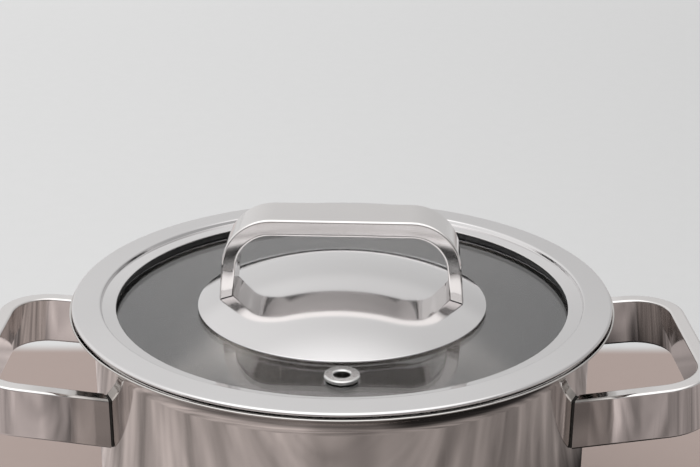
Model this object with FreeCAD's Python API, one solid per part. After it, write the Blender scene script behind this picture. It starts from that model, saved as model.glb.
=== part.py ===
import FreeCAD, Part
import math
import os

# A 24 cm stainless stock pot with two strap loop handles and a framed glass lid.
# Millimetres. Z is up, X runs through the two side handles, and the origin is the centre of the
# underside, on the surface that the pot stands on. Names that end in _z are heights above it.
Vector = FreeCAD.Vector
ORIGIN = Vector(0, 0, 0)
UP = Vector(0, 0, 1)
ACROSS = Vector(0, 1, 0)

# Pot body: one deep-drawn shell with a flared pouring rim.
pot_inner_diameter = 240.0
inside_depth = 170.0
body_sheet = 0.9
floor_corner_radius = 16.0
lip_reach = 10.7
lip_rise_angle = 12.0
flare_radius = 13.0
lip_edge_round = 0.4

# Sandwich base: an aluminium core brazed to the floor and a steel cap pressed over it.
core_thickness = 5.0
core_corner_radius = 3.0
cap_sheet = 0.6

# Side handles: hollow rectangular tube bent into a loop, closed by a plate at each end.
side_handle_drop = 27.3
side_handle_height = 25.0
side_handle_thickness = 7.0
side_handle_half_width = 54.0
side_handle_reach = 52.0
side_handle_corner_radius = 24.0
side_handle_tilt = 6.4
side_handle_toe_in = 2.1
side_handle_wall = 1.2
side_handle_edge_round = 1.2
end_plate_thickness = 1.0
end_plate_inset = 0.7

# Lid frame: a stamped top rim over a lower ring that centres the lid and holds the glass.
lid_overlap = 1.0
lid_above_lip = 2.5
rim_sheet = 0.8
hem_height = 1.8
hem_width = 3.4
hem_round = 0.88
rim_edge_round = 0.35
rim_bend_radius = 0.3
rim_flat_width = 13.6
rim_step_width = 0.6
rim_step_drop = 2.1
rim_slope_width = 6.7
rim_slope_drop = 0.9
collar_gap = 0.4
skirt_gap = 1.1
seat_angle = 57.0
seat_gap = 0.3
ring_bend_radius = 1.6
ring_edge_round = 0.35
ring_lip_width = 6.5

# Glass and its edge gasket.
glass_thickness = 4.0
glass_below_rim = 3.6
gasket_lower_leg = 0.9
gasket_recess = 0.7
gasket_wall = 1.8
gasket_ring_gap = 0.3
gasket_top_setback = 0.6

# Steel dome on the glass, with its seal.
dome_edge_radius = 70.6
dome_sphere_radius = 180.0
dome_sheet = 1.0
dome_lift = 0.3
seal_setback = 3.5
seal_width = 4.5

# Lid handle: a flat strap arch whose two feet stand on the dome.
arch_depth = 26.4
arch_thickness = 6.7
arch_bar_thickness = 8.2
arch_half_width = 55.5
arch_height = 36.1
arch_lean = 4.8
arch_corner_radius = 20.8
arch_edge_round = 1.0
arch_turn = -2.6
foot_pad_thickness = 0.5
foot_pad_inset = 0.7

# Screws that clamp the arch, the dome and the glass together.
screw_radius = 2.0
screw_fit = 0.05
thread_depth = 7.0
thread_spare = 1.0
screw_head_radius = 4.0
screw_head_height = 2.6
screw_head_round = 1.0
drive_sides = 6
drive_radius = 1.25
drive_depth = 1.6
spacer_wall = 3.0
bushing_wall = 1.4
bushing_fit = 0.1
bushing_flange_radius = 7.0
bushing_flange_thickness = 1.0
washer_thickness = 1.0

# Steam vent: a steel eyelet in a silicone grommet, closed below by a washer.
vent_radius = 3.6
vent_dome_gap = 6.0
eyelet_wall = 1.0
eyelet_flange_radius = 8.1
eyelet_flange_height = 1.9
eyelet_flange_round = 0.9
eyelet_tail_spread = 1.3
eyelet_tail_height = 0.6
grommet_wall = 1.0
grommet_flange = 0.3
grommet_setback = 1.0
vent_washer_radius = 8.0
vent_washer_thickness = 0.8

# Places that follow from the sizes above.
pot_inner_radius = pot_inner_diameter / 2
pot_outer_radius = pot_inner_radius + body_sheet
floor_z = cap_sheet + core_thickness + body_sheet
lip_z = floor_z + inside_depth
lip_radius = pot_outer_radius + lip_reach
core_radius = pot_inner_radius - floor_corner_radius
flare_angle = 90.0 - lip_rise_angle
flare_bend_z = lip_z - (lip_radius - pot_inner_radius) * math.tan(math.radians(lip_rise_angle))

lid_z = lip_z + lid_above_lip
lid_radius = lip_radius - lid_overlap
rim_step_radius = lid_radius - rim_flat_width
rim_slope_radius = rim_step_radius - rim_step_width
rim_inner_radius = rim_slope_radius - rim_slope_width
rim_slope = math.atan2(rim_slope_drop, rim_slope_width)
rim_inner_z = lid_z - rim_step_drop - rim_slope_drop

glass_top_z = rim_inner_z - glass_below_rim
glass_bottom_z = glass_top_z - glass_thickness
ring_lip_z = glass_bottom_z - gasket_lower_leg
collar_radius = lid_radius - hem_width - collar_gap
skirt_outer_radius = pot_inner_radius - skirt_gap
skirt_inner_radius = skirt_outer_radius - rim_sheet
gasket_outer_radius = skirt_inner_radius - gasket_ring_gap
glass_radius = gasket_outer_radius - gasket_wall

dome_edge_z = glass_top_z + dome_lift + dome_sheet
dome_centre_z = dome_edge_z - math.sqrt(dome_sphere_radius ** 2 - dome_edge_radius ** 2)
dome_centre = Vector(0, 0, dome_centre_z)

bushing_radius = screw_radius + bushing_fit + bushing_wall
bushing_bore_radius = screw_radius + bushing_fit
screw_hole_radius = screw_radius + screw_fit
bushing_low_z = glass_bottom_z - bushing_flange_thickness
washer_low_z = bushing_low_z - washer_thickness

vent_offset = dome_edge_radius + vent_dome_gap + eyelet_flange_radius
eyelet_seat_z = glass_top_z + grommet_flange
grommet_low_z = glass_bottom_z - grommet_flange
vent_washer_low_z = grommet_low_z - vent_washer_thickness
vent_hole_radius = vent_radius + eyelet_wall + grommet_wall
vent_centre = Vector(0, -vent_offset, 0)

# Each screw stands under the middle of a leaning leg, halfway up its thread.
foot_z = dome_centre_z + math.sqrt((dome_sphere_radius + foot_pad_thickness) ** 2 - arch_half_width ** 2)
thread_top_z = foot_z + thread_depth
screw_reach = arch_half_width - (foot_z + thread_depth / 2 - lid_z) * math.tan(math.radians(arch_lean))
arch_angle = math.radians(arch_turn)
screw_places = [
    Vector(side * screw_reach * math.cos(arch_angle), side * screw_reach * math.sin(arch_angle), 0)
    for side in (-1, 1)
]


def unit(a, b):
    """Return the unit step from point a to point b of an outline."""
    length = math.hypot(b[0] - a[0], b[1] - a[1])
    return (b[0] - a[0]) / length, (b[1] - a[1]) / length


def corner(before, point, after):
    """Return where the rounding of one outline corner starts, passes and ends."""
    back = unit(point, before)
    ahead = unit(point, after)
    half = math.acos(max(-1.0, min(1.0, back[0] * ahead[0] + back[1] * ahead[1]))) / 2
    radius = point[2]
    run = radius / math.tan(half)
    middle = unit((0, 0), (back[0] + ahead[0], back[1] + ahead[1]))
    depth = radius / math.sin(half) - radius
    start = (point[0] + back[0] * run, point[1] + back[1] * run)
    through = (point[0] + middle[0] * depth, point[1] + middle[1] * depth)
    end = (point[0] + ahead[0] * run, point[1] + ahead[1] * run)
    return start, through, end


def outline(points, place):
    """Return the face inside a closed outline of (x, y, corner radius) points."""
    edges = []
    ends = []
    for index, point in enumerate(points):
        if point[2] > 0:
            start, through, end = corner(points[index - 1], point, points[(index + 1) % len(points)])
            edges.append(Part.Arc(place(*start), place(*through), place(*end)).toShape())
        else:
            start = end = point[:2]
            edges.append(None)
        ends.append((start, end))
    loop = []
    for index, edge in enumerate(edges):
        if edge:
            loop.append(edge)
        here = place(*ends[index][1])
        ahead = place(*ends[(index + 1) % len(points)][0])
        if here.distanceToPoint(ahead) > 1e-6:
            loop.append(Part.LineSegment(here, ahead).toShape())
    return Part.Face(Part.Wire(loop))


def upright(r, z):
    """Place an outline point in the vertical plane through the Z axis."""
    return Vector(r, 0, z)


def turned(points, centre=ORIGIN):
    """Return the solid that an outline of (radius, height, corner radius) points turns about Z."""
    solid = outline(points, upright).revolve(ORIGIN, UP, 360)
    solid.translate(centre)
    return solid


def sheet(path, thickness):
    """Return the closed outline of a sheet whose left side, seen along the path, is the path.

    The sheet lies to the right of the path. Each corner radius belongs to the path's own side, and
    the radii at the path's two ends round the sheet's edges.
    """
    far_side = []
    for index, point in enumerate(path):
        back = unit(path[index - 1], point) if index else unit(point, path[1])
        ahead = unit(point, path[index + 1]) if index + 1 < len(path) else back
        turn = back[0] * ahead[1] - back[1] * ahead[0]
        normal = unit((0, 0), (back[1] + ahead[1], -back[0] - ahead[0]))
        reach = thickness / (normal[0] * ahead[1] - normal[1] * ahead[0])
        radius = point[2] + math.copysign(thickness, turn) if turn else point[2]
        far_side.append((point[0] + normal[0] * reach, point[1] + normal[1] * reach, radius))
    return path + far_side[::-1]


def tube(outer_radius, inner_radius, low, high, centre=ORIGIN):
    """Return a plain ring between two heights."""
    at = Vector(centre.x, centre.y, low)
    ring = Part.makeCylinder(outer_radius, high - low, at, UP)
    return ring.cut(Part.makeCylinder(inner_radius, high - low, at, UP))


def save(node, shape):
    """Write one sub-part to its own file."""
    shape.exportStep("parts/" + node + ".step")


def pot_body():
    """The drawn shell: floor, corner, wall, flare and lip are one sheet."""
    path = [
        (0, floor_z, 0),
        (pot_inner_radius, floor_z, floor_corner_radius),
        (pot_inner_radius, flare_bend_z, flare_radius),
        (lip_radius, lip_z, lip_edge_round),
    ]
    return turned(sheet(path, body_sheet))


def base_core():
    """The aluminium disc that spreads the heat."""
    top = cap_sheet + core_thickness
    points = [
        (0, cap_sheet, 0),
        (core_radius, cap_sheet, core_corner_radius),
        (core_radius, top, 0),
        (0, top, 0),
    ]
    return turned(points)


def base_cap():
    """The steel cap over the core's underside and edge."""
    path = [
        (0, cap_sheet, 0),
        (core_radius, cap_sheet, core_corner_radius),
        (core_radius, cap_sheet + core_thickness, 0),
    ]
    return turned(sheet(path, cap_sheet))


def loop_points(loop, offset):
    """The outline of a bent strap's middle line, moved outward by offset, as (out, sideways) points."""
    lean = math.radians(loop["lean"])
    far = loop["reach"] + math.copysign(abs(offset) + loop["bar_extra"], offset)
    wide = loop["half_width"] + offset / math.cos(lean)
    near_half = wide - loop["near"] * math.tan(lean)
    far_half = wide - far * math.tan(lean)
    radius = loop["corner"] + offset
    return [
        (loop["near"], -near_half, 0),
        (far, -far_half, radius),
        (far, far_half, radius),
        (loop["near"], near_half, 0),
    ]


def strap(loop, inset):
    """A flat strap bent into a loop, smaller all round by inset."""
    sideways = loop["across"].cross(loop["out"])
    half = loop["thickness"] / 2 - inset
    blocks = []
    for offset in (half, -half):
        face = outline(
            loop_points(loop, offset),
            lambda out, side: loop["start"] + loop["out"] * out + sideways * side,
        )
        block = face.extrude(loop["across"] * (loop["width"] - 2 * inset))
        block.translate(loop["across"] * inset)
        blocks.append(block)
    return blocks[0].cut(blocks[1])


def round_strap(solid, loop, radius):
    """Round the edges that run along a strap, but not those across its cut ends."""
    along = []
    for edge in solid.Edges:
        out = (edge.CenterOfMass - loop["start"]).dot(loop["out"])
        width = max(v.Point.dot(loop["across"]) for v in edge.Vertexes)
        width -= min(v.Point.dot(loop["across"]) for v in edge.Vertexes)
        if width < radius and out > loop["near"] + radius:
            along.append(edge)
    return solid.makeFillet(radius, along)


def on_the_wall(shape):
    """Tilt a level handle piece about the wall and set it at its height."""
    placed = shape.copy()
    placed.rotate(Vector(pot_outer_radius, 0, 0), ACROSS, -side_handle_tilt)
    placed.translate(UP * (lip_z - side_handle_drop))
    return placed


def side_handle():
    """The hollow loop, ending a plate's thickness short of the wall."""
    outside = round_strap(strap(SIDE_LOOP, 0), SIDE_LOOP, side_handle_edge_round)
    hollow = outside.cut(strap(SIDE_LOOP, side_handle_wall))
    return on_the_wall(hollow).cut(Part.makeCylinder(pot_outer_radius + end_plate_thickness, lip_z))


def end_plates():
    """The two plates between a loop's ends and the wall, set back from its faces."""
    shell = tube(pot_outer_radius + end_plate_thickness, pot_outer_radius, 0, lip_z)
    return on_the_wall(strap(SIDE_LOOP, end_plate_inset)).common(shell)


def opposite(shape):
    """Return the same piece on the other side of the pot."""
    other = shape.copy()
    other.rotate(ORIGIN, UP, 180)
    return other


def lid_rim():
    """The frame that shows: a slope up from the glass, a step, a wide flat and a hemmed edge."""
    path = [
        (rim_inner_radius, rim_inner_z, rim_edge_round),
        (rim_slope_radius, lid_z - rim_step_drop, rim_bend_radius),
        (rim_step_radius, lid_z, rim_bend_radius + rim_sheet),
        (lid_radius - hem_width / 2, lid_z, 0),
    ]
    hem = [
        (lid_radius, lid_z, hem_round),
        (lid_radius, lid_z - hem_height, hem_round),
        (lid_radius - hem_width, lid_z - hem_height, 0),
        (lid_radius - hem_width, lid_z, 0),
    ]
    return turned(sheet(path, rim_sheet)).fuse(turned(hem)).removeSplitter()


def lid_ring():
    """The lower ring: collar under the rim, seat on the flare, skirt in the mouth, lip under the glass."""
    angle = math.radians(seat_angle)
    flare_start_z = flare_bend_z - flare_radius * math.tan(math.radians(flare_angle / 2))
    touch_r = pot_inner_radius + flare_radius - (flare_radius + seat_gap) * math.cos(angle)
    touch_z = flare_start_z + (flare_radius + seat_gap) * math.sin(angle)
    collar_z = touch_z + (collar_radius - touch_r) / math.tan(angle)
    skirt_z = touch_z + (skirt_outer_radius - touch_r) / math.tan(angle)
    bottom_z = ring_lip_z - rim_sheet
    path = [
        (collar_radius, lid_z - rim_sheet, 0),
        (collar_radius, collar_z, ring_bend_radius),
        (skirt_outer_radius, skirt_z, ring_bend_radius),
        (skirt_outer_radius, bottom_z, ring_bend_radius),
        (skirt_outer_radius - ring_lip_width, bottom_z, ring_edge_round),
    ]
    return turned(sheet(path, rim_sheet))


def glass_gasket():
    """The silicone channel round the glass's edge, filling up to the underside of the rim's slope."""
    inner = rim_inner_radius + gasket_recess
    crest = rim_slope_radius - gasket_top_setback
    points = [
        (inner, rim_underside(inner), 0),
        (crest, rim_underside(crest), 0),
        (gasket_outer_radius, rim_underside(crest), 0),
        (gasket_outer_radius, ring_lip_z, ring_bend_radius - rim_sheet),
        (skirt_outer_radius - ring_lip_width, ring_lip_z, 0),
        (skirt_outer_radius - ring_lip_width, glass_bottom_z, 0),
        (glass_radius, glass_bottom_z, 0),
        (glass_radius, glass_top_z, 0),
        (inner, glass_top_z, 0),
    ]
    return turned(points)


def rim_underside(radius):
    """Return the height of the underside of the rim's slope."""
    top = rim_inner_z + (radius - rim_inner_radius) * math.tan(rim_slope)
    return top - rim_sheet / math.cos(rim_slope)


def lid_glass():
    """The flat tempered disc, drilled for the vent and for the two screws."""
    glass = Part.makeCylinder(glass_radius, glass_thickness, UP * glass_bottom_z)
    drills = [Part.makeCylinder(vent_hole_radius, glass_thickness, vent_centre + UP * glass_bottom_z)]
    for place in screw_places:
        drills.append(Part.makeCylinder(bushing_radius, glass_thickness, place + UP * glass_bottom_z))
    return glass.cut(drills)


def lid_dome():
    """The pressed steel dome, drilled for the two screws."""
    low = dome_edge_z - dome_sheet
    cap = sphere(0).common(Part.makeCylinder(dome_edge_radius, dome_sphere_radius, UP * low))
    return cap.cut(sphere(-dome_sheet)).cut(screw_drills())


def sphere(offset):
    """Return the ball that the dome's outer face lies on, grown by offset."""
    return Part.makeSphere(dome_sphere_radius + offset, dome_centre)


def screw_drills():
    """Return the two drills that open the dome, the pads and the arch's feet for the screws."""
    depth = thread_top_z - glass_top_z
    return [Part.makeCylinder(screw_hole_radius, depth, place + UP * glass_top_z) for place in screw_places]


def dome_seal():
    """The silicone ring that carries the dome's edge on the glass."""
    outer = dome_edge_radius - seal_setback
    ring = tube(outer, outer - seal_width, glass_top_z, lid_z + arch_height)
    return ring.common(sphere(-dome_sheet))


def lid_handle():
    """The solid arch, its feet shaped to the dome and tapped for the screws."""
    arch = round_strap(strap(ARCH_LOOP, 0), ARCH_LOOP, arch_edge_round)
    arch.rotate(ORIGIN, UP, arch_turn)
    return arch.cut(sphere(foot_pad_thickness)).cut(screw_drills())


def foot_pads():
    """The two thin black pads between the arch's feet and the dome."""
    feet = strap(ARCH_LOOP, foot_pad_inset)
    feet.rotate(ORIGIN, UP, arch_turn)
    above_edge = Part.makeCylinder(dome_edge_radius, arch_height, UP * dome_edge_z)
    return feet.common(sphere(foot_pad_thickness)).common(above_edge).cut(sphere(0)).cut(screw_drills())


def handle_spacers():
    """The two steel sleeves that keep the dome from being crushed onto the glass."""
    sleeves = []
    for place in screw_places:
        outer = screw_hole_radius + spacer_wall
        sleeve = tube(outer, screw_hole_radius, glass_top_z, lid_z + arch_height, place)
        sleeves.append(sleeve.common(sphere(-dome_sheet)))
    return Part.makeCompound(sleeves)


def handle_bushings():
    """The two silicone bushings that keep the screws off the glass."""
    bushings = []
    for place in screw_places:
        sleeve = tube(bushing_radius, bushing_bore_radius, glass_bottom_z, glass_top_z, place)
        flange = tube(bushing_flange_radius, bushing_bore_radius, bushing_low_z, glass_bottom_z, place)
        bushings.append(sleeve.fuse(flange).removeSplitter())
    return Part.makeCompound(bushings)


def handle_washers():
    """The two steel washers under the screw heads."""
    rings = [
        tube(bushing_flange_radius, screw_hole_radius, washer_low_z, bushing_low_z, place)
        for place in screw_places
    ]
    return Part.makeCompound(rings)


def handle_screws():
    """The two hexagon-socket screws, driven up from inside the lid."""
    low = washer_low_z - screw_head_height
    screws = []
    for place in screw_places:
        points = [
            (0, low, 0),
            (screw_head_radius, low, screw_head_round),
            (screw_head_radius, washer_low_z, 0),
            (screw_radius, washer_low_z, 0),
            (screw_radius, thread_top_z - thread_spare, 0),
            (0, thread_top_z - thread_spare, 0),
        ]
        drive = Part.makePolygon([drive_corner(step, low) for step in range(drive_sides + 1)])
        socket = Part.Face(drive).extrude(UP * drive_depth)
        screw = turned(points).cut(socket)
        screw.translate(place)
        screws.append(screw)
    return Part.makeCompound(screws)


def drive_corner(step, height):
    """Return one corner of the screw's socket."""
    angle = 2 * math.pi * step / drive_sides
    return Vector(drive_radius * math.cos(angle), drive_radius * math.sin(angle), height)


def vent_eyelet():
    """The steel eyelet: domed flange above, tube through the glass, tail rolled out below."""
    outer = vent_radius + eyelet_wall
    top = eyelet_seat_z + eyelet_flange_height
    low = vent_washer_low_z - eyelet_tail_height
    points = [
        (vent_radius, low, 0),
        (outer + eyelet_tail_spread, low, 0),
        (outer + eyelet_tail_spread, vent_washer_low_z, 0),
        (outer, vent_washer_low_z, 0),
        (outer, eyelet_seat_z, 0),
        (eyelet_flange_radius, eyelet_seat_z, 0),
        (eyelet_flange_radius, top, eyelet_flange_round),
        (vent_radius, top, eyelet_flange_round),
    ]
    return turned(points, vent_centre)


def vent_grommet():
    """The silicone grommet that lines the vent hole and seals both faces of the glass."""
    bore = vent_radius + eyelet_wall
    flange = eyelet_flange_radius - grommet_setback
    points = [
        (bore, grommet_low_z, 0),
        (flange, grommet_low_z, 0),
        (flange, glass_bottom_z, 0),
        (vent_hole_radius, glass_bottom_z, 0),
        (vent_hole_radius, glass_top_z, 0),
        (flange, glass_top_z, 0),
        (flange, eyelet_seat_z, 0),
        (bore, eyelet_seat_z, 0),
    ]
    return turned(points, vent_centre)


def vent_washer():
    """The steel washer that the eyelet's tail is rolled over."""
    bore = vent_radius + eyelet_wall
    return tube(vent_washer_radius, bore, vent_washer_low_z, grommet_low_z, vent_centre)


# The two strap loops: start is where out is 0, and half_width is the middle line's there.
SIDE_LOOP = {
    "start": Vector(pot_outer_radius, 0, -side_handle_height),
    "out": Vector(1, 0, 0),
    "across": UP,
    "half_width": side_handle_half_width,
    "lean": side_handle_toe_in,
    "reach": side_handle_reach,
    "corner": side_handle_corner_radius,
    "near": -side_handle_reach,
    "thickness": side_handle_thickness,
    "bar_extra": 0,
    "width": side_handle_height,
}
ARCH_LOOP = {
    "start": Vector(0, -arch_depth / 2, lid_z),
    "out": UP,
    "across": ACROSS,
    "half_width": arch_half_width,
    "lean": arch_lean,
    "reach": arch_height,
    "corner": arch_corner_radius,
    "near": glass_top_z - lid_z,
    "thickness": arch_thickness,
    "bar_extra": (arch_bar_thickness - arch_thickness) / 2,
    "width": arch_depth,
}

PARTS = {
    "pot_body": pot_body,
    "base_core": base_core,
    "base_cap": base_cap,
    "right_handle": side_handle,
    "left_handle": lambda: opposite(side_handle()),
    "right_end_plates": end_plates,
    "left_end_plates": lambda: opposite(end_plates()),
    "lid_rim": lid_rim,
    "lid_ring": lid_ring,
    "glass_gasket": glass_gasket,
    "lid_glass": lid_glass,
    "lid_dome": lid_dome,
    "dome_seal": dome_seal,
    "lid_handle": lid_handle,
    "foot_pads": foot_pads,
    "handle_spacers": handle_spacers,
    "handle_bushings": handle_bushings,
    "handle_washers": handle_washers,
    "handle_screws": handle_screws,
    "vent_eyelet": vent_eyelet,
    "vent_grommet": vent_grommet,
    "vent_washer": vent_washer,
}

os.makedirs("parts", exist_ok=True)
for node, build in PARTS.items():
    save(node, build())
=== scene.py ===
import bpy
import numpy as np
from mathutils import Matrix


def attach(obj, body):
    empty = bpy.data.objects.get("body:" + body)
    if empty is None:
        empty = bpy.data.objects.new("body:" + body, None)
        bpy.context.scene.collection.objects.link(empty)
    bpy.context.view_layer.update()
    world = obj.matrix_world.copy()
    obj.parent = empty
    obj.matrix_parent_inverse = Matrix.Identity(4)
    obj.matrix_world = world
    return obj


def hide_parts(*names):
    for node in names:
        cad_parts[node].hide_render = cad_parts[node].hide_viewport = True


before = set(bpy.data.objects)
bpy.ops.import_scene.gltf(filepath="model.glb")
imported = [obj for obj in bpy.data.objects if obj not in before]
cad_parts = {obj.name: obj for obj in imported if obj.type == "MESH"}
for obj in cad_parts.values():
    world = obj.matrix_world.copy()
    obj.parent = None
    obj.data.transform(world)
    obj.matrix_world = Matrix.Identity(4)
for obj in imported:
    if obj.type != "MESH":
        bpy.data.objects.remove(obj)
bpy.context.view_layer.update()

millimetre = 0.001
tiny = 1e-8


# How curves are cut: steps once round, degrees per step of a bend, the gap between a run's end and
# its support points, the largest share of a run that a gap may take, and the cosine of "straight".
meshDetail = {
    "turns": 288, "rimTurns": 360, "baseTurns": 192, "eyeletTurns": 96, "domeRows": 60, "arcStep": 7.0,
    "supportGap": 0.12 * millimetre, "mostGap": 0.25, "straight": 0.9999,
}


def unitTowards(a, b):
    step = np.subtract(b, a)
    return step / np.linalg.norm(step)


# The arc that rounds one corner of a line, tangent to the runs before and after it.
def cornerArc(before, point, after, radius):
    back = unitTowards(point, before)
    ahead = unitTowards(point, after)
    half = np.arccos(np.clip(back @ ahead, -1, 1)) / 2
    middle = unitTowards((0, 0), back + ahead)
    centre = point + middle * radius / np.sin(half)
    start = point + back * radius / np.tan(half) - centre
    end = point + ahead * radius / np.tan(half) - centre
    turn = np.arctan2(start[0] * end[1] - start[1] * end[0], start @ end)
    steps = max(4, int(np.ceil(abs(np.degrees(turn)) / meshDetail["arcStep"])))
    angle = np.arctan2(start[1], start[0]) + np.linspace(0, turn, steps + 1)
    return centre + radius * np.column_stack([np.cos(angle), np.sin(angle)])


# Points on the run from a to b, close to each end that is an arc, so that shading stays flat along it.
def supportPoints(a, b, arcBefore, arcAfter):
    gap = meshDetail["supportGap"] / max(np.linalg.norm(b - a), tiny)
    where = []
    if gap < meshDetail["mostGap"] and arcBefore:
        where += [gap, 2 * gap]
    if gap < meshDetail["mostGap"] and arcAfter:
        where += [1 - 2 * gap, 1 - gap]
    return a + (b - a) * np.reshape(where, (-1, 1))


# A line of (x, y, corner radius) points becomes straight runs and tangent arcs.
def roundedLine(points, closed):
    xy = [np.array(point[:2], dtype=float) for point in points]
    pieces = []
    for i, (x, y, radius) in enumerate(points):
        isEnd = not closed and i in (0, len(points) - 1)
        if radius > 0 and not isEnd:
            pieces.append(cornerArc(xy[i - 1], xy[i], xy[(i + 1) % len(xy)], radius))
        else:
            pieces.append(xy[i][None])
    line = []
    for piece, following in zip(pieces, pieces[1:] + pieces[:1]):
        line += [piece, supportPoints(piece[-1], following[0], len(piece) > 1, len(following) > 1)]
    line = np.vstack(line if closed else line[:-1])
    apart = np.linalg.norm(line - np.roll(line, 1, axis=0), axis=1) > tiny
    return line[apart]


# The outline of a sheet laid to the right of a line of corners. Its edges are rounded, and an end
# on the axis stays sharp.
def sheetOutline(path, thickness, edgeRadius):
    far = []
    for i, (x, y, radius) in enumerate(path):
        back = unitTowards(path[i - 1][:2], (x, y)) if i else unitTowards((x, y), path[1][:2])
        ahead = unitTowards((x, y), path[i + 1][:2]) if i + 1 < len(path) else back
        turn = back[0] * ahead[1] - back[1] * ahead[0]
        normal = unitTowards((0, 0), (back[1] + ahead[1], -back[0] - ahead[0]))
        reach = thickness / (normal[0] * ahead[1] - normal[1] * ahead[0])
        outer = radius + np.sign(turn) * thickness if radius else 0
        far.append([x + normal[0] * reach, y + normal[1] * reach, outer])
    near = [list(point) for point in path]
    for end in (near[0], near[-1], far[0], far[-1]):
        if end[0] > 0:
            end[2] = edgeRadius
    return near + far[::-1]


def addPiece(name, points, faces):
    mesh = bpy.data.meshes.new(name)
    mesh.from_pydata(np.asarray(points, dtype=float).tolist(), [], faces)
    piece = bpy.data.objects.new(name, mesh)
    bpy.context.collection.objects.link(piece)
    return piece


# A grid of points becomes a mesh. Its columns always close on themselves. Its rows close too, or
# each end of them is closed by a fan about one middle point.
def gridMesh(name, grid, closeRows=False, uv=None):
    rows, cols = grid.shape[:2]
    index = np.arange(rows * cols).reshape(rows, cols)
    a = index if closeRows else index[:-1]
    b = np.roll(index, -1, axis=0) if closeRows else index[1:]
    quads = np.stack([a, np.roll(a, -1, axis=1), np.roll(b, -1, axis=1), b], axis=-1)
    faces = quads.reshape(-1, 4).tolist()
    points = grid.reshape(-1, 3)
    if not closeRows:
        points = np.vstack([points, grid[0].mean(axis=0), grid[-1].mean(axis=0)])
        middle = np.full(cols, rows * cols)
        faces += np.column_stack([np.roll(index[0], -1), index[0], middle]).tolist()
        faces += np.column_stack([index[-1], np.roll(index[-1], -1), middle + 1]).tolist()
    piece = addPiece(name, points, faces)
    mesh = piece.data
    if uv is not None:
        layer = mesh.uv_layers.new(name="along")
        loops = np.empty(len(mesh.loops), dtype=np.int32)
        mesh.loops.foreach_get("vertex_index", loops)
        flat = np.vstack([uv.reshape(-1, 2), uv[0].mean(axis=0), uv[-1].mean(axis=0)])
        layer.data.foreach_set("uv", flat[loops].astype(np.float32).ravel())
    mesh.polygons.foreach_set("use_smooth", np.ones(len(mesh.polygons), dtype=bool))
    mesh.update()
    return piece


# A profile of (radius, height) points is turned about a vertical axis:
# x = cx + r cos t, y = cy + r sin t, z = h, for t once round. A profile that meets the axis gets poles.
def lathe(name, profile, turns, centre=(0, 0)):
    r, h = profile[:, 0], profile[:, 1]
    area = np.sum(r * np.roll(h, -1) - np.roll(r, -1) * h)
    if area < 0:
        r, h = r[::-1], h[::-1]
    onAxis = r < tiny
    poles = []
    if onAxis.any():
        start = np.flatnonzero(onAxis & ~np.roll(onAxis, -1))[0]
        r, h = np.roll(r, -start), np.roll(h, -start)
        away = r >= tiny
        poles = [h[0], h[away.sum() + 1]]
        r, h = r[away], h[away]
    t = np.linspace(0, 2 * np.pi, turns, endpoint=False)
    x = centre[0] + r[:, None] * np.cos(t)
    y = centre[1] + r[:, None] * np.sin(t)
    grid = np.stack(np.broadcast_arrays(x, y, h[:, None]), axis=-1)
    piece = gridMesh(name, grid, closeRows=not poles)
    vertices = piece.data.vertices
    for index, height in enumerate(poles, start=len(vertices) - 2):
        vertices[index].co = (*centre, height)
    return piece


# The two lines that a strap lies between, half its thickness outside and inside its middle line.
def strapLines(loop):
    lean = np.radians(loop["lean"])
    lines = []
    for offset in (loop["thickness"] / 2, -loop["thickness"] / 2):
        far = loop["reach"] + offset * (1 + 2 * loop["barExtra"] / loop["thickness"])
        wide = loop["halfWidth"] + offset / np.cos(lean)
        nearHalf = wide - loop["near"] * np.tan(lean)
        farHalf = wide - far * np.tan(lean)
        radius = loop["corner"] + offset
        corners = [(loop["near"], -nearHalf, 0), (far, -farHalf, radius)]
        corners += [(far, farHalf, radius), (loop["near"], nearHalf, 0)]
        lines.append(roundedLine(corners, closed=False))
    return lines


# Both legs are slid, from their ends to the bend, until reachEnd says that they touch.
def slideEnds(grid, middle, bend, reachEnd):
    share = np.linalg.norm(middle[: bend + 1] - middle[0], axis=1)[:, None, None]
    share = share / share[-1]
    last = len(middle) - 1
    for rows in (slice(0, bend + 1), slice(last, last - bend - 1, -1)):
        leg = grid[rows]
        end = reachEnd(leg[0], leg[0] - leg[-1])
        grid[rows] = end + (leg[-1] - end) * share


def distanceAlong(line):
    return np.concatenate([[0], np.cumsum(np.linalg.norm(np.diff(line, axis=0), axis=1))])


# A flat strap bent into a loop. Its section (depth d, width w) is carried along its line:
# point = middle + (outer - inner) / thickness * d + across * w.
def strapLoop(name, loop, reachEnd):
    outer, inner = strapLines(loop)
    middle = (outer + inner) / 2
    normal = (outer - inner) / loop["thickness"]
    d, w, edge = loop["thickness"] / 2, loop["width"] / 2, loop["edgeRound"]
    section = roundedLine([(d, -w, edge), (-d, -w, edge), (-d, w, edge), (d, w, edge)], closed=True)
    flat = middle[:, None] + normal[:, None] * section[None, :, :1]
    out, across = np.array(loop["out"], dtype=float), np.array(loop["across"], dtype=float)
    sideways = np.cross(across, out)
    grid = np.array(loop["start"]) + flat[..., :1] * out + flat[..., 1:] * sideways
    grid += section[None, :, 1:] * across
    steps = np.diff(outer, axis=0)
    steps /= np.linalg.norm(steps, axis=1, keepdims=True)
    bend = int(np.argmax(steps @ steps[0] < meshDetail["straight"]))
    slideEnds(grid, middle, bend, reachEnd)
    along, around = distanceAlong(middle), distanceAlong(section)
    uv = np.stack(np.broadcast_arrays(along[:, None], around[None, :]), axis=-1)
    return gridMesh(name, grid, uv=uv)


def scaled(points):
    return [(x * millimetre, y * millimetre, radius * millimetre) for x, y, radius in points]


# A loop's lengths in metres, with its angles left in degrees.
def inMetres(loop):
    angles = ("lean", "tilt", "turn")
    return {key: value if key in angles else value * millimetre for key, value in loop.items()}


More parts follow.
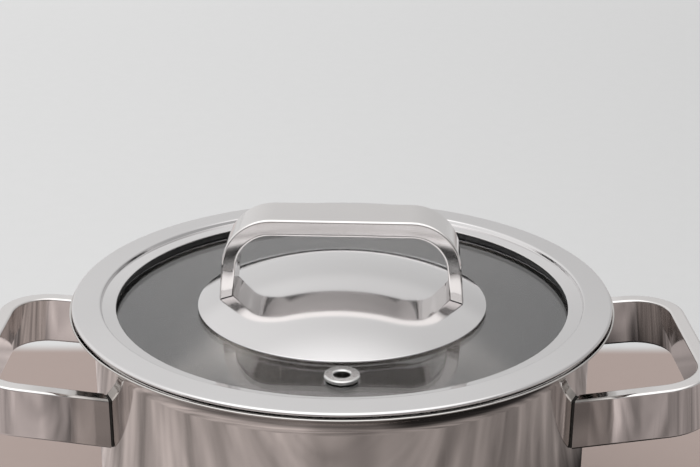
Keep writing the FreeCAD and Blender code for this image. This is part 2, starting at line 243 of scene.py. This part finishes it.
# A piece moves with a body and stands for a CAD node, which is hidden.
def settle(piece, body, node):
    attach(piece, body)
    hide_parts(node)
    return piece


# The pot's shell, in millimetres as every dictionary of sizes below, with angles in degrees.
pot = {
    "innerRadius": 120.0, "sheet": 0.9, "floorHeight": 6.5, "lipHeight": 176.5, "lipRadius": 131.6,
    "floorCorner": 16.0, "flareCorner": 13.0, "lipRise": 12.0, "lipEdge": 0.42,
}


def makePotShell():
    flare = pot["lipRadius"] - pot["innerRadius"]
    bend = pot["lipHeight"] - flare * np.tan(np.radians(pot["lipRise"]))
    path = [
        (0, pot["floorHeight"], 0),
        (pot["innerRadius"], pot["floorHeight"], pot["floorCorner"]),
        (pot["innerRadius"], bend, pot["flareCorner"]),
        (pot["lipRadius"], pot["lipHeight"], 0),
    ]
    profile = roundedLine(scaled(sheetOutline(path, pot["sheet"], pot["lipEdge"])), closed=True)
    return settle(lathe("potShell", profile, meshDetail["turns"]), "pot", "pot_body")


base = {
    "coreRadius": 104.0, "corner": 3.0, "sheet": 0.6, "top": 5.6, "edgeRound": 0.2,
    "grooves": 4, "firstGroove": 0.2, "lastGroove": 0.86, "grooveDepth": 0.25, "grooveWidth": 1.2,
    "grooveRound": 0.15,
}


# The underside carries a few shallow turned rings, evenly spaced between two shares of its radius.
def makeBaseCap():
    r, width = base["coreRadius"], base["grooveWidth"]
    depth, bend = base["grooveDepth"], base["grooveRound"]
    points = [(0, 0, 0)]
    for ring in np.linspace(base["firstGroove"], base["lastGroove"], base["grooves"]) * r:
        points += [(ring - width, 0, bend), (ring - width / 2, depth, bend)]
        points += [(ring + width / 2, depth, bend), (ring + width, 0, bend)]
    edge = r + base["sheet"]
    points += [(edge, 0, base["corner"] + base["sheet"]), (edge, base["top"], base["edgeRound"])]
    points += [(r, base["top"], base["edgeRound"]), (r, base["sheet"], base["corner"])]
    points += [(0, base["sheet"], 0)]
    profile = roundedLine(scaled(points), closed=True)
    return settle(lathe("baseCap", profile, meshDetail["baseTurns"]), "pot", "base_cap")


# Both side handles. Near is where the legs' lines start, which slideEnds then moves to the wall.
sideHandle = {
    "drop": 27.3, "width": 25.0, "thickness": 7.0, "barExtra": 0.0, "halfWidth": 54.0, "reach": 52.0,
    "corner": 24.0, "lean": 2.1, "tilt": 6.4, "near": -52.0, "edgeRound": 1.2, "seam": 1.0,
}


# The strap's ends stop a seam's width off the wall: each end point slides along its leg to where
# x^2 + y^2 is the square of the seam's radius.
def reachWall(points, direction):
    radius = (pot["innerRadius"] + pot["sheet"] + sideHandle["seam"]) * millimetre
    direction = direction / np.linalg.norm(direction, axis=-1, keepdims=True)
    a = np.sum(direction[:, :2] ** 2, axis=1)
    b = np.sum(points[:, :2] * direction[:, :2], axis=1)
    c = np.sum(points[:, :2] ** 2, axis=1) - radius ** 2
    root = np.sqrt(b * b - a * c)
    step = np.where(np.abs(-b - root) < np.abs(-b + root), -b - root, -b + root) / a
    return points + direction * step[:, None]


def makeSideHandle(name, side):
    tilt = np.radians(sideHandle["tilt"])
    wall = pot["innerRadius"] + pot["sheet"]
    top = np.array([side * wall, 0, pot["lipHeight"] - sideHandle["drop"]])
    loop = inMetres(sideHandle)
    loop["out"] = np.array([side * np.cos(tilt), 0, np.sin(tilt)])
    loop["across"] = np.array([-side * np.sin(tilt), 0, np.cos(tilt)])
    loop["start"] = top * millimetre - loop["across"] * loop["width"] / 2
    return settle(strapLoop(name + "Handle", loop, reachWall), "pot", name + "_handle")


# The lid's heights, and its frame: from the glass outwards a slope, a step, a flat and a hemmed edge.
lid = {"plane": 179.0, "radius": 130.6, "glassTop": 172.4, "glassBottom": 168.4}
rim = {
    "sheet": 0.8, "hemHeight": 1.8, "hemWidth": 3.4, "hemRound": 1.25, "hemLow": 0.5, "hemInside": 0.2,
    "hemJoin": 0.1, "flat": 13.6, "step": 0.6, "stepDrop": 2.1, "slope": 6.7, "slopeDrop": 0.9,
    "bend": 0.3, "edge": 0.35,
}


def makeLidRim():
    top, r = lid["plane"], lid["radius"]
    stepRadius = r - rim["flat"]
    slopeRadius = stepRadius - rim["step"]
    hemRadius = r - rim["hemWidth"]
    path = [
        (slopeRadius - rim["slope"], top - rim["stepDrop"] - rim["slopeDrop"], 0),
        (slopeRadius, top - rim["stepDrop"], rim["bend"]),
        (stepRadius, top, rim["bend"] + rim["sheet"]),
        (hemRadius, top, 0),
    ]
    sheet = sheetOutline(path, rim["sheet"], rim["edge"])
    hem = [
        (r, top, rim["hemRound"]),
        (r, top - rim["hemHeight"], rim["hemLow"]),
        (hemRadius, top - rim["hemHeight"], rim["hemInside"]),
        (hemRadius, top - rim["sheet"], rim["hemJoin"]),
    ]
    profile = roundedLine(scaled(sheet[:3] + hem + sheet[5:]), closed=True)
    return settle(lathe("lidRim", profile, meshDetail["rimTurns"]), "lid", "lid_rim")


dome = {"edgeRadius": 70.6, "sphere": 180.0, "sheet": 1.0, "lift": 0.3, "edgeRound": 0.38, "edgeBand": 1.2}
domeEdge = lid["glassTop"] + dome["lift"] + dome["sheet"]
domeCentre = domeEdge - np.sqrt(dome["sphere"] ** 2 - dome["edgeRadius"] ** 2)


# A cap of a sphere: r = R sin f, z = centre + R cos f, for f from the axis to the edge.
def makeDome():
    last = np.arcsin((dome["edgeRadius"] - dome["edgeBand"]) / dome["sphere"])
    f = np.linspace(0, last, meshDetail["domeRows"])
    faces = []
    for big, angles in ((dome["sphere"], f), (dome["sphere"] - dome["sheet"], f[::-1])):
        faces.append([(big * np.sin(a), domeCentre + big * np.cos(a), 0) for a in angles])
    r, bend = dome["edgeRadius"], dome["edgeRound"]
    edge = [(r, domeEdge, bend), (r, domeEdge - dome["sheet"], bend)]
    profile = roundedLine(scaled(faces[0] + edge + faces[1]), closed=True)
    return settle(lathe("lidDome", profile, meshDetail["turns"]), "lid", "lid_dome")


# The arch over the dome. Its bar is thicker than its legs by barExtra on either side.
arch = {
    "width": 26.4, "thickness": 6.7, "barExtra": 0.75, "halfWidth": 55.5, "reach": 36.1, "corner": 20.8,
    "lean": 4.8, "near": -6.6, "edgeRound": 1.0, "turn": -2.6, "pad": 0.5,
}


# Each foot's end points slide along the leg to the ball that lies a pad's thickness over the dome.
def reachDome(points, direction):
    radius = (dome["sphere"] + arch["pad"]) * millimetre
    direction = direction / np.linalg.norm(direction, axis=-1, keepdims=True)
    offset = points - np.array([0, 0, domeCentre]) * millimetre
    b = np.sum(offset * direction, axis=1)
    root = np.sqrt(b * b - np.sum(offset ** 2, axis=1) + radius ** 2)
    return points + direction * (-b - root)[:, None]


def makeArch():
    turn = np.radians(arch["turn"])
    loop = inMetres(arch)
    loop["out"] = (0, 0, 1)
    loop["across"] = (-np.sin(turn), np.cos(turn), 0)
    loop["start"] = (0, 0, lid["plane"] * millimetre)
    return settle(strapLoop("lidHandle", loop, reachDome), "lid", "lid_handle")


vent = {
    "offset": 84.7, "bore": 3.6, "wall": 1.0, "flange": 8.1, "height": 1.9, "seat": 0.3, "round": 0.95,
    "seatRound": 0.3, "washer": 0.8, "tailSpread": 1.3, "tailHeight": 0.6, "tailRound": 0.28,
    "boreRound": 0.2,
}


def makeEyelet():
    seat = lid["glassTop"] + vent["seat"]
    top = seat + vent["height"]
    rolled = lid["glassBottom"] - vent["seat"] - vent["washer"]
    low = rolled - vent["tailHeight"]
    tube = vent["bore"] + vent["wall"]
    tail = tube + vent["tailSpread"]
    place = (0, -vent["offset"] * millimetre)
    points = [
        (vent["bore"], low, vent["boreRound"]),
        (tail, low, vent["tailRound"]),
        (tail, rolled, vent["tailRound"]),
        (tube, rolled, 0),
        (tube, seat, 0),
        (vent["flange"], seat, vent["seatRound"]),
        (vent["flange"], top, vent["round"]),
        (vent["bore"], top, vent["round"]),
    ]
    profile = roundedLine(scaled(points), closed=True)
    piece = lathe("ventEyelet", profile, meshDetail["eyeletTurns"], place)
    return settle(piece, "lid", "vent_eyelet")


print("shapes")
potShell = makePotShell()
baseCap = makeBaseCap()
rightHandle = makeSideHandle("right", 1)
leftHandle = makeSideHandle("left", -1)
lidRim = makeLidRim()
lidDome = makeDome()
lidHandle = makeArch()
ventEyelet = makeEyelet()


# A shader socket that does arithmetic: an expression on these adds its Math nodes.
class Flow:
    def __init__(self, tree, socket=None):
        self.tree = tree
        self.socket = socket

    # Any other node: its type, its settings, the values or links of its sockets, and its output.
    def node(self, kind, settings, inputs, output=0):
        made = self.tree.nodes.new("ShaderNode" + kind)
        for key, value in settings.items():
            if key == "stops":
                for stop, (position, shade) in zip(made.color_ramp.elements, value):
                    stop.position = position
                    stop.color = (*shade, 1)
            else:
                setattr(made, key, value)
        for key, value in inputs.items():
            if isinstance(value, Flow):
                self.tree.links.new(value.socket, made.inputs[key])
            else:
                made.inputs[key].default_value = value
        return Flow(self.tree, made.outputs[output] if made.outputs else None)

    def math(self, operation, first, second):
        return self.node("Math", {"operation": operation}, {0: first, 1: second})

    def __add__(self, other):
        return self.math("ADD", self, other)

    def __radd__(self, other):
        return self.math("ADD", other, self)

    def __sub__(self, other):
        return self.math("SUBTRACT", self, other)

    def __rsub__(self, other):
        return self.math("SUBTRACT", other, self)

    def __mul__(self, other):
        return self.math("MULTIPLY", self, other)

    def __rmul__(self, other):
        return self.math("MULTIPLY", other, self)

    def __truediv__(self, other):
        return self.math("DIVIDE", self, other)

    def __pow__(self, other):
        return self.math("POWER", self, other)


def newMaterial(name):
    material = bpy.data.materials.new(name)
    material.use_nodes = True
    material.node_tree.nodes.clear()
    return material, Flow(material.node_tree)


# The surface of a finish. A number stays on the shader's own socket, and a Flow is linked to it.
def surface(flow, inputs, height=None, depth=0.0001):
    if height is not None:
        inputs["Normal"] = flow.node("Bump", {}, {"Height": height, "Distance": depth})
    shader = flow.node("BsdfPrincipled", {}, inputs)
    flow.node("OutputMaterial", {}, {"Surface": shader})


def objectPlace(flow):
    return flow.node("TexCoord", {}, {}, "Object")


def xyz(vector):
    split = vector.node("SeparateXYZ", {}, {"Vector": vector})
    return [Flow(vector.tree, part) for part in split.socket.node.outputs]


def join(x, y, z):
    return x.node("CombineXYZ", {}, {"X": x, "Y": y, "Z": z})


def noise(place, scale, detail=2.0, roughness=0.5, distortion=0.0):
    inputs = {"Vector": place, "Scale": scale, "Detail": detail}
    return place.node("TexNoise", {}, {**inputs, "Roughness": roughness, "Distortion": distortion})


# A value carried from one range to another and held at its ends, in a straight line or eased.
def mapped(value, source, target=(0.0, 1.0), kind="LINEAR"):
    inputs = {"Value": value, "From Min": source[0], "From Max": source[1]}
    inputs.update({"To Min": target[0], "To Max": target[1]})
    return value.node("MapRange", {"interpolation_type": kind}, inputs)


def eased(value, source, target=(0.0, 1.0)):
    return mapped(value, source, target, "SMOOTHSTEP")


def fromAxis(x, y):
    return (x * x + y * y) ** 0.5


def mixColour(share, first, second):
    return share.node("Mix", {"data_type": "RGBA"}, {0: share, 6: (*first, 1), 7: (*second, 1)}, 2)


def shaded(colour, amount):
    return tuple(part * amount for part in colour)


# Fine marks, long one way and fine across it: round the axis on a turned piece, along a bent strap.
grainLook = {"fineness": 9000.0, "turnedStretch": 6.0, "strapStretch": 60, "detail": 3.0}


def turnedGrain(place):
    x, y, z = xyz(place)
    fine = grainLook["fineness"]
    angle = x.math("ARCTAN2", y, x) * grainLook["turnedStretch"]
    return noise(join(fromAxis(x, y) * fine, z * fine, angle), 1.0, grainLook["detail"])


def strapGrain(flow):
    along, around = xyz(flow.node("UVMap", {}, {}))[:2]
    fine = grainLook["fineness"]
    place = join(along * fine / grainLook["strapStretch"], around * fine, 0.0)
    return noise(place, 1.0, grainLook["detail"])


# Light hairline scratches in two directions, from stretched noise cut near its crest.
hairline = {
    "turns": ((0.42, 0.24, 0.6), (-0.77, -0.44, -1.1)), "moves": (3.1, 7.7),
    "scale": (900.0, 20.0, 20.0), "crest": (0.66, 0.80),
}


def hairlines(place):
    marks = 0.0
    for turn, move in zip(hairline["turns"], hairline["moves"]):
        inputs = {"Vector": place, "Rotation": turn, "Location": (move, move, 0)}
        turned = place.node("Mapping", {}, {**inputs, "Scale": hairline["scale"]})
        marks = marks + mapped(noise(turned, 1.0, 1.0), hairline["crest"])
    return marks


# Mirror steel: clouds of handling marks, a fine grain, hairlines and a slight waviness of the sheet.
# Within satinRadius of the axis it is rougher by satin, as inside a pot.
steelLook = {
    "tint": (0.70, 0.68, 0.665), "cloudShade": 0.97, "smudgeScale": 18.0, "smudgeRange": (0.35, 0.68),
    "smudge": 0.03, "rough": 0.07, "grain": "turned", "grainRough": 0.03, "grainHeight": 0.004,
    "waveScale": 22.0, "wave": 0.35, "scratchRough": 0.05, "scratch": 0.008,
    "satinRadius": 0.0, "satinEdge": 0.0004, "satin": 0.0,
}


def polishedSteel(name, changes):
    look = {**steelLook, **changes}
    material, flow = newMaterial(name)
    place = objectPlace(flow)
    cloud = mapped(noise(place, look["smudgeScale"], detail=4.0), look["smudgeRange"])
    scratch = hairlines(place)
    grain = turnedGrain(place) if look["grain"] == "turned" else strapGrain(flow)
    rough = look["rough"] + cloud * look["smudge"] + grain * look["grainRough"]
    rough = rough + scratch * look["scratchRough"]
    if look["satin"]:
        edge = look["satinRadius"], look["satinRadius"] + look["satinEdge"]
        rough = rough + mapped(fromAxis(*xyz(place)[:2]), edge, (1.0, 0.0)) * look["satin"]
    tint = mixColour(cloud, look["tint"], shaded(look["tint"], look["cloudShade"]))
    wave = noise(place, look["waveScale"], detail=1.0)
    height = wave * look["wave"] + grain * look["grainHeight"] - scratch * look["scratch"]
    surface(flow, {"Metallic": 1.0, "Base Color": tint, "Roughness": rough}, height)
    return material


# Metal off the tool, with a fine even speckle.
metalLook = {"scale": 600.0, "shade": 0.82, "roughSpread": 0.12, "depth": 0.00003}


def plainMetal(name, colour, roughness):
    material, flow = newMaterial(name)
    fine = noise(objectPlace(flow), metalLook["scale"], detail=4.0)
    tint = mixColour(fine, colour, shaded(colour, metalLook["shade"]))
    rough = roughness + fine * metalLook["roughSpread"]
    surface(flow, {"Metallic": 1.0, "Base Color": tint, "Roughness": rough}, fine, metalLook["depth"])
    return material


# Black silicone, and near-black plates that paint the shade in the seams where the side handles meet
# the wall: two shades of dust over a matt ground.
darkLook = {"stops": (0.3, 0.8), "specular": 0.4, "roughSpread": 0.25, "depth": 0.00006}


def darkFinish(name, dark, dusty, roughness, scale):
    material, flow = newMaterial(name)
    dust = noise(objectPlace(flow), scale, detail=5.0)
    stops = list(zip(darkLook["stops"], (dark, dusty)))
    shade = flow.node("ValToRGB", {"stops": stops}, {"Fac": dust})
    rough = roughness + dust * darkLook["roughSpread"]
    inputs = {"Specular IOR Level": darkLook["specular"], "Base Color": shade, "Roughness": rough}
    surface(flow, inputs, dust, darkLook["depth"])
    return material


glassLook = {"tint": (0.985, 0.985, 0.995, 1), "ior": 1.52, "filmScale": 14.0, "film": 0.03}


def clearGlass():
    material, flow = newMaterial("temperedGlass")
    film = noise(objectPlace(flow), glassLook["filmScale"], detail=5.0)
    inputs = {"Base Color": glassLook["tint"], "Transmission Weight": 1.0, "IOR": glassLook["ior"]}
    surface(flow, {**inputs, "Roughness": film * glassLook["film"]})
    return material


# The satin inside the pot ends within the wall's sheet.
print("materials")
# Painted shade: the pot's wall is tinted darker and warmer than the lid and the straps, which are of the
# same steel.
potChanges = {
    "tint": (0.66, 0.64, 0.62), "rough": 0.045, "wave": 1.3, "grainHeight": 0.002, "scratch": 0.004,
    "satinRadius": (pot["innerRadius"] + 0.2) * millimetre, "satin": 0.13,
}
lidChanges = {"tint": (0.735, 0.72, 0.72), "wave": 0.12, "waveScale": 14.0}
strapChanges = {"tint": (0.76, 0.735, 0.725), "grain": "along", "wave": 0.25, "waveScale": 45.0}
finishes = {
    "pot": polishedSteel("potSteel", potChanges),
    "lid": polishedSteel("lidSteel", lidChanges),
    "strap": polishedSteel("strapSteel", strapChanges),
    "base": plainMetal("baseSteel", (0.58, 0.57, 0.56), 0.28),
    "small": plainMetal("smallSteel", (0.72, 0.71, 0.70), 0.12),
    "core": plainMetal("aluminiumCore", (0.78, 0.79, 0.80), 0.35),
    "glass": clearGlass(),
    "silicone": darkFinish("blackSilicone", (0.012, 0.012, 0.013), (0.035, 0.034, 0.033), 0.45, 320.0),
    "seamShade": darkFinish("paintedSeamShade", (0.008, 0.007, 0.006), (0.03, 0.027, 0.024), 0.55, 700.0),
}
pieceFinish = {
    potShell: "pot", baseCap: "base", rightHandle: "strap", leftHandle: "strap",
    lidRim: "lid", lidDome: "lid", lidHandle: "strap", ventEyelet: "small",
}
# Painted shade: the side handles' end plates are near-black to stand for the shade in the seam gap.
cadFinish = {
    "base_core": "core", "right_end_plates": "seamShade", "left_end_plates": "seamShade", "lid_ring": "lid",
    "glass_gasket": "silicone", "lid_glass": "glass", "dome_seal": "silicone", "foot_pads": "silicone",
    "handle_spacers": "small", "handle_bushings": "silicone", "handle_washers": "small",
    "handle_screws": "small", "vent_grommet": "silicone", "vent_washer": "small",
}
for piece, finish in pieceFinish.items():
    piece.data.materials.append(finishes[finish])
for name, finish in cadFinish.items():
    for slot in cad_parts[name].material_slots:
        slot.material = finishes[finish]


# One wide floor, in metres: a pinkish table paper about the pot, from front to back and wide to
# either side, and a pale ground past its soft edges, with painted light making it lighter on the left and
# a long way back.
stage = {
    "paper": (0.30, 0.245, 0.225), "ground": (0.49, 0.49, 0.49), "fibreScale": 60.0, "fibre": 0.03,
    "rough": 0.8, "back": 0.315, "front": -0.60, "wide": 0.62, "soft": 0.009, "half": 6.0, "low": -0.0002,
    "sideFrom": (-0.5, 0.5), "sideLight": (1.05, 0.95), "farFrom": (0.35, 1.65), "farLight": (1.0, 1.15),
}


def makeFloor():
    half, low = stage["half"], stage["low"]
    corners = [(-half, -half, low), (half, -half, low), (half, half, low), (-half, half, low)]
    floor = addPiece("floor", corners, [(0, 1, 2, 3)])
    material, flow = newMaterial("floorPaper")
    place = objectPlace(flow)
    x, y = xyz(place)[:2]
    inwards = y - (stage["back"] + stage["front"]) / 2
    reach = (stage["back"] - stage["front"]) / 2
    fibre = 1 + noise(place, stage["fibreScale"], detail=4.0) * stage["fibre"]
    paper = 1.0
    for offset, limit in ((inwards, reach), (x, stage["wide"])):
        ends = (limit - stage["soft"]) ** 2, (limit + stage["soft"]) ** 2
        paper = paper * eased(offset * offset, ends, (1.0, 0.0))
    # Painted light: the ground's colour is lighter to the left and further back.
    paintedLight = mapped(x, stage["sideFrom"], stage["sideLight"])
    paintedLight = paintedLight * mapped(y, stage["farFrom"], stage["farLight"])
    parts = {}
    for i, (near, far) in enumerate(zip(stage["paper"], stage["ground"])):
        parts[i] = (paintedLight * far + paper * (near - paintedLight * far)) * fibre
    shade = flow.node("CombineColor", {}, parts)
    surface(flow, {"Roughness": stage["rough"], "Specular IOR Level": 0.0, "Base Color": shade})
    floor.data.materials.append(material)


# The room: a pale wall all round and a broad soft light overhead that leans towards the front.
# The level is a smooth function of the direction (x, y, z).
room = {
    "wall": 0.715, "side": 0.36, "lean": 0.42, "overheadFrom": (0.50, 0.95), "overhead": (0.0, 1.1),
    "riseFrom": (0.34, 0.50), "rise": (0.0, 0.16),
}


def makeRoom():
    world = bpy.data.worlds.new("room")
    bpy.context.scene.world = world
    world.use_nodes = True
    world.node_tree.nodes.clear()
    flow = Flow(world.node_tree)
    x, y, z = xyz(flow.node("TexCoord", {}, {}, "Generated"))
    upward = (1 - room["lean"] ** 2) ** 0.5
    level = 1 - x * room["side"]
    level = level + eased(z * upward - y * room["lean"], room["overheadFrom"], room["overhead"])
    level = level + eased(z, room["riseFrom"], room["rise"])
    level = level * room["wall"]
    colour = flow.node("CombineColor", {}, {0: level, 1: level, 2: level})
    flow.node("OutputWorld", {}, {"Surface": flow.node("Background", {}, {"Color": colour})})


# A glowing card that only reflections see, a painted reflection: its side line of (radius, height)
# points is turned about the pot from one angle to another, x = r cos t, y = r sin t.
def makeCard(name, card, finish):
    r, z = np.array(card["line"]).T[..., None]
    t = np.radians(np.linspace(*card["angles"], card["steps"]))
    grid = np.stack(np.broadcast_arrays(r * np.cos(t), r * np.sin(t), z), axis=-1)
    index = np.arange(grid[..., 0].size).reshape(grid.shape[:2])
    faces = np.stack([index[:-1, :-1], index[:-1, 1:], index[1:, 1:], index[1:, :-1]], axis=-1)
    piece = addPiece(name, grid.reshape(-1, 3), faces.reshape(-1, 4).tolist())
    piece.data.materials.append(finish)
    for kind in ("camera", "diffuse", "transmission", "shadow", "volume_scatter"):
        setattr(piece, "visible_" + kind, False)


# A surface that only glows, at a varying level, and that its cover lets fade out.
def glowing(flow, level, colour, cover):
    parts = {i: level * part for i, part in enumerate(colour)}
    glow = flow.node("CombineColor", {}, parts)
    inputs = {"Base Color": (0, 0, 0, 1), "Specular IOR Level": 0.0, "Emission Strength": 1.0}
    surface(flow, {**inputs, "Emission Color": glow, "Alpha": cover})


# The painted table reflection lies as a wide shallow bowl round the pot: a glowing stand-in, seen only in
# reflections, for a grained table top.
# Each level has the range it is eased over: of x / r for side and nearSide, of its square for
# middle, of r for near and shadow, and of height for high and fade.
paintedTableReflection = {
    "line": [(0.125, 0.0005), (0.19, 0.003), (0.30, 0.006), (0.38, 0.02), (0.42, 0.06), (0.425, 0.155)],
    "angles": (0, 360), "steps": 97, "colour": (1.0, 0.88, 0.85),
    "side": (0.53, 0.29), "sideFrom": (-0.4, 0.8), "middle": 0.70, "middleFrom": (0.01, 0.08),
    "near": 0.14, "nearFrom": (0.22, 0.31), "nearSide": (0.1, 0.5),
    "shadow": 0.45, "shadowFrom": (0.16, 0.25), "high": 0.45, "highFrom": (0.03, 0.11),
    "fade": (0.09, 0.155), "grain": (4.0, 24.0, 4.0), "contrast": 3.0,
}


# The grain runs across the table. Painted shade: the card is darker on the right and in the middle,
# in the pot's own shadow, and near the pot on the right, where the handle and the lid keep the light off.
def tableGlow():
    material, flow = newMaterial("paintedTableReflection")
    x, y, z = xyz(objectPlace(flow))
    radius = fromAxis(x, y)
    sideways = x / radius
    place = join(*[part * size for part, size in zip((x, y, z), paintedTableReflection["grain"])])
    grain = noise(place, 1.0, detail=5.0, roughness=0.62, distortion=0.6)
    level = eased(sideways, paintedTableReflection["sideFrom"], paintedTableReflection["side"])
    level = level * eased(sideways * sideways, paintedTableReflection["middleFrom"], (paintedTableReflection["middle"], 1.0))
    near = eased(radius, paintedTableReflection["nearFrom"], (1.0, 0.0)) * eased(sideways, paintedTableReflection["nearSide"])
    level = level * (1 - near * (1 - paintedTableReflection["near"]))
    level = level * eased(radius, paintedTableReflection["shadowFrom"], (paintedTableReflection["shadow"], 1.0))
    level = level + eased(z, paintedTableReflection["highFrom"]) * (paintedTableReflection["high"] - level)
    level = level * (1 + (grain - 0.5) * paintedTableReflection["contrast"])
    glowing(flow, level, paintedTableReflection["colour"], eased(z, paintedTableReflection["fade"], (1.0, 0.0)))
    return material


# The front card paints the reflection of the dim room behind the viewer, low down and a long way off.
paintedFrontReflection = {
    "line": [(1.45, 0.0), (1.45, 0.42)], "angles": (-150, -30), "steps": 97, "colour": (1.0, 0.95, 0.95),
    "dim": 0.20, "patchScale": 1.6, "fade": (0.25, 0.42),
}


def frontDim():
    material, flow = newMaterial("paintedFrontReflection")
    place = objectPlace(flow)
    level = noise(place, paintedFrontReflection["patchScale"], detail=1.0) * paintedFrontReflection["dim"]
    glowing(flow, level, paintedFrontReflection["colour"], eased(xyz(place)[2], paintedFrontReflection["fade"], (1.0, 0.0)))
    return material


# A soft round lamp that looks at the middle of the pot and leaves no highlight of its own.
softLamp = {"place": (-0.5, -0.3, 1.6), "target": (0, 0, 0.1), "size": 1.2, "power": 11}


def makeSoftLamp():
    lamp = bpy.data.lights.new("softTop", "AREA")
    lamp.shape = "DISK"
    lamp.size = softLamp["size"]
    lamp.energy = softLamp["power"]
    holder = bpy.data.objects.new("softTop", lamp)
    holder.location = softLamp["place"]
    x, y, z = np.subtract(softLamp["target"], softLamp["place"])
    holder.rotation_euler = (np.arctan2(np.hypot(x, y), -z), 0, np.arctan2(y, x) - np.pi / 2)
    bpy.context.collection.objects.link(holder)
    holder.visible_glossy = False


# The camera looks down on the front of the pot: metres, degrees, and millimetres of lens and film.
camera = {
    "place": (0, -0.6478, 0.4492), "turn": (69.597, -0.269, -0.223), "lens": 73.6, "film": 36.0,
    "clipStart": 0.01,
}


def makeCamera():
    eye = bpy.data.cameras.new("camera")
    eye.lens = camera["lens"]
    eye.sensor_width = camera["film"]
    eye.clip_start = camera["clipStart"]
    holder = bpy.data.objects.new("camera", eye)
    holder.location = camera["place"]
    holder.rotation_euler = np.radians(camera["turn"])
    bpy.context.collection.objects.link(holder)
    bpy.context.scene.camera = holder


print("stage")
makeFloor()
makeRoom()
makeCard("paintedTableReflection", paintedTableReflection, tableGlow())
makeCard("paintedFrontReflection", paintedFrontReflection, frontDim())
makeSoftLamp()
makeCamera()
bpy.context.scene.view_settings.view_transform = "Standard"
